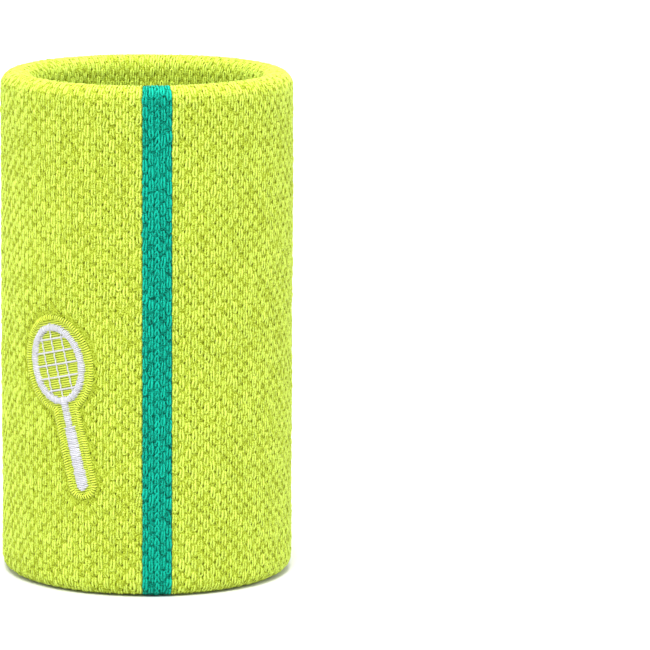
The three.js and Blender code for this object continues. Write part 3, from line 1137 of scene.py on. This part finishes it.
class WRISTBAND_OT_stripe(Operator):
    """Knit the stripe: its columns on each side, and a middle one with twice as many stitches"""

    bl_idname = "wristband.stripe"
    bl_label = "Knit the Stripe"

    def execute(self, context):
        knit = context.scene.wristband_knit
        stripe = context.scene.wristband_stripe
        colours = context.scene.wristband_colours
        half_turn = stripe.width / 2 / knit.outer_radius
        wales = 2 * stripe.wales + 1
        sheen_tint = (0.4, 1.0, 0.9, 1.0)
        yarn = yarn_material("teal_yarn", colours.teal, colours.teal_shade, 0.02, sheen_tint, 0.65)
        cloth = ground_material("teal_ground", colours.teal, colours.teal_shade)
        steps = STRIPE_GROUND_STEPS
        ground = cloth_ground("stripe_ground", knit, -half_turn, 2 * half_turn, steps, wales, cloth)
        finished(ground, "teal_knit", "stripe")

        courses, course = courses_of(knit)
        wale_turn = 2 * half_turn / wales
        shared = {**stitch_values(knit, wale_turn, stripe.leg), **FACE_YARN}
        side = {**shared, "Wales": stripe.wales, "Courses": courses}
        right_turn = half_turn - stripe.wales * wale_turn
        middle = {
            **shared,
            "Wales": 1,
            "Courses": 2 * courses,
            "Course": course / 2,
            "First Turn": -half_turn + stripe.wales * wale_turn,
            "Reach": 1.4,
            "Square": -0.15,
            "Tuck": -0.5,
            "Seed": 103,
        }
        parts = {
            "left": {**side, "First Turn": -half_turn, "Seed": 101},
            "middle": middle,
            "right": {**side, "First Turn": right_turn, "Offset": 0.25, "Seed": 102},
        }
        tree = knit_tree()
        made = [made_by(tree, f"stripe_{part}", values, yarn) for part, values in parts.items()]
        finished(joined("stripe_stitches", made), "teal_knit", "stripe")
        return {"FINISHED"}


class WRISTBAND_OT_tack(Operator):
    """Sew the zigzag that closes the turning gap, across the ring seam in the lining"""

    bl_idname = "wristband.tack"
    bl_label = "Sew the Closing Tack"

    def execute(self, context):
        knit = context.scene.wristband_knit
        colours = context.scene.wristband_colours
        inner = knit.outer_radius - knit.wall
        half_height = (TACK_HIGH[2] - TACK_LOW[2]) / 2
        whole_turn = (TACK_HIGH[0] - TACK_LOW[0]) / inner
        stitches = 8
        steps = 8 * stitches
        points = []
        # The thread lies just proud of the lining, and sinks into it where the zigzag turns.
        for step in range(steps + 1):
            run = step / steps
            swing = 1 - 2 * abs(run * stitches % 2 - 1)
            turn = (run - 0.5) * whole_turn
            radius = inner - 0.1 * MM + 0.5 * MM * abs(swing) ** 6
            height = knit.seam_height + swing * half_height
            points.append((radius * math.sin(turn), radius * math.cos(turn), height, 1.0))
        data = poly_curve("closing_stitches", [points])
        data.bevel_depth = 0.2 * MM
        data.bevel_resolution = 1
        data.use_fill_caps = True
        sewing = thread_material("lime_sewing_thread", colours.lime_thread, 0.5)
        piece = made_plain("closing_stitches", in_scene("closing_source", data), sewing)
        piece.data.shade_smooth()
        finished(piece, "lime_thread", "closing_tack")
        return {"FINISHED"}


class WRISTBAND_OT_mark(Operator):
    """Embroider the racket: its fill and border in lime thread, then frame, handle and strings in white"""

    bl_idname = "wristband.mark"
    bl_label = "Embroider the Racket"

    def execute(self, context):
        knit = context.scene.wristband_knit
        mark = context.scene.wristband_mark
        colours = context.scene.wristband_colours
        lime = thread_material("lime_embroidery_thread", colours.lime_thread, 0.45)
        white = thread_material("white_embroidery_thread", colours.white_thread, 0.42)
        satin, running = satin_tree(), running_tree()
        shared = {
            "Path": path_object(knit),
            "Turn": mark.azimuth,
            "Radius": knit.outer_radius,
            "Along": along_at(knit, mark.height),
            "Lean": mark.lean,
            "Thread": mark.thread,
            "Waviness": knit.waviness,
        }
        # The node, the thread, the tree, the lines, the base and rise of the stitches in mm, and their pitch.
        work = {
            "mark_fill_stitches": ("mark_ground", lime, running, fill_lines, 0.1, 0.2, FILL_RUN),
            "mark_border_stitches": ("mark_border", lime, satin, border_line, -0.25, 0.9, mark.border_pitch),
            "racket_frame_stitches": ("mark_frame", white, satin, frame_lines, 0.15, 0.75, mark.pitch),
            "racket_handle_stitches": ("mark_handle", white, satin, handle_line, 0.15, 0.8, mark.pitch),
            "racket_string_stitches": ("mark_strings", white, running, string_lines, 0.3, 0.3, STRING_RUN),
        }
        for seed, (name, (node, thread, tree, lines, base, rise, pitch)) in enumerate(work.items()):
            values = {**shared, "Base": base * MM, "Rise": rise * MM, "Pitch": pitch, "Seed": 200 + seed}
            piece = made_by(tree, name, values, thread, lines(mark))
            slot = "white_embroidery" if thread is white else "lime_embroidery"
            finished(piece, slot, node)
        return {"FINISHED"}


class WRISTBAND_OT_inside(Operator):
    """Finish the inside of the wall: the pile, the elastic, the overlocked seam and the back of the mark"""

    bl_idname = "wristband.inside"
    bl_label = "Finish the Inside"

    def execute(self, context):
        colours = context.scene.wristband_colours
        pile = hidden_material("lime_pile", colours.lime, 900.0, 0.95, 0.4 * MM)
        elastic = hidden_material("covered_elastic", colours.elastic, 2400.0, 0.6, 0.08 * MM)
        sewing = hidden_material("lime_overlock_thread", colours.lime_thread, 2400.0, 0.55, 0.08 * MM)
        bobbin = hidden_material("bobbin_thread", colours.white_thread, 2400.0, 0.55, 0.08 * MM)
        backing = hidden_material("nonwoven_backing", colours.backing, 1500.0, 0.9, 0.06 * MM)
        worn = {
            "pile_tube": pile,
            "elastic_outer": elastic,
            "elastic_lining_upper": elastic,
            "elastic_lining_lower": elastic,
            "overlock_needle_thread": sewing,
            "overlock_upper_looper": sewing,
            "overlock_lower_looper": sewing,
            "mark_bobbin_thread": bobbin,
            "mark_backing": backing,
        }
        for node, material in worn.items():
            piece = frame["nodes"][node]
            for place in piece.material_slots:
                place.material = material
        return {"FINISHED"}


class WRISTBAND_OT_stage(Operator):
    """Set the floor, the light and the camera"""

    bl_idname = "wristband.stage"
    bl_label = "Set the Stage"

    def execute(self, context):
        scene = context.scene
        stage = scene.wristband_stage
        knit = scene.wristband_knit
        colours = scene.wristband_colours

        reach = FLOOR_REACH
        mesh = bpy.data.meshes.new("floor")
        corners = [(-reach, -reach, 0), (reach, -reach, 0), (reach, reach, 0), (-reach, reach, 0)]
        mesh.from_pydata(corners, [], [(0, 1, 2, 3)])
        floor = in_scene("floor", mesh)
        settings = {"Base Color": (*colours.floor, 1), "Roughness": 0.9, "Specular IOR Level": 0.1}
        mesh.materials.append(new_material("pale_floor", settings)[0])

        # The room is light near the floor and dimmer overhead.
        world = bpy.data.worlds.new("pale_room")
        world.use_nodes = True
        background = world.node_tree.nodes["Background"]
        background.inputs["Strength"].default_value = 1.0
        g = Graph(world.node_tree)
        up = g.parts(g.add("ShaderNodeTexCoord", None, None, "Generated"))[2]
        g.feed(background.inputs["Color"], g.grey(g.spread(up, 0.06, 0.3, 1.05, 0.42)))
        scene.world = world

        middle = knit.height / 2
        for name, lamp in LIGHTS.items():
            self.light(name, *lamp, middle)

        camera = bpy.data.cameras.new("camera")
        camera.lens = stage.lens
        camera.sensor_width = 36
        camera.shift_x = stage.shift_x
        camera.shift_y = stage.shift_y
        camera.clip_end = 50
        holder = in_scene("camera", camera)
        back = stage.distance * math.cos(stage.pitch)
        holder.location = (
            -back * math.sin(stage.turn),
            -back * math.cos(stage.turn),
            middle + stage.distance * math.sin(stage.pitch),
        )
        holder.rotation_euler = (math.pi / 2 - stage.pitch, 0, -stage.turn)
        scene.camera = holder
        scene.view_settings.view_transform = "Standard"
        return {"FINISHED"}

    def light(self, name, kind, place, spread, power, height):
        """A lamp that faces the band's axis at this height."""
        data = bpy.data.lights.new(name, kind)
        data.energy = power
        if kind == "SUN":
            data.angle = math.radians(spread)
        else:
            data.size = spread
        holder = in_scene(name, data)
        x, y, z = place
        holder.location = place
        holder.rotation_euler = (math.atan2(math.hypot(x, y), z - height), 0, math.atan2(-x, y) + math.pi)


class WRISTBAND_PT_sidebar(Panel):
    """The wristband's settings and the steps that make it"""

    bl_idname = "WRISTBAND_PT_sidebar"
    bl_label = "Sweat Wristband"
    bl_space_type = "VIEW_3D"
    bl_region_type = "UI"
    bl_category = "Wristband"

    def draw(self, context):
        layout = self.layout
        for name, group in SETTINGS.items():
            box = layout.box()
            box.label(text=group.__name__)
            for key in group.__annotations__:
                box.prop(getattr(context.scene, name), key)
        for step in STEPS:
            layout.operator(step.bl_idname)


SETTINGS = {
    "wristband_knit": WristbandKnit,
    "wristband_stripe": WristbandStripe,
    "wristband_mark": WristbandMark,
    "wristband_colours": WristbandColours,
    "wristband_stage": WristbandStage,
}
STEPS = (
    WRISTBAND_OT_stage,
    WRISTBAND_OT_mark,
    WRISTBAND_OT_knit,
    WRISTBAND_OT_stripe,
    WRISTBAND_OT_tack,
    WRISTBAND_OT_inside,
)


def register():
    for item in (*SETTINGS.values(), *STEPS, WRISTBAND_PT_sidebar):
        bpy.utils.register_class(item)
    for name, group in SETTINGS.items():
        setattr(bpy.types.Scene, name, PointerProperty(type=group))


def unregister():
    for name in SETTINGS:
        delattr(bpy.types.Scene, name)
    for item in (WRISTBAND_PT_sidebar, *reversed(STEPS), *reversed(SETTINGS.values())):
        bpy.utils.unregister_class(item)


def main():
    register()
    bpy.ops.wristband.stage()
    bpy.ops.wristband.mark()
    bpy.ops.wristband.knit()
    bpy.ops.wristband.stripe()
    bpy.ops.wristband.tack()
    bpy.ops.wristband.inside()
    clear_of_scene(bpy.data.objects["cloth_path"])


if __name__ == "__main__":
    main()
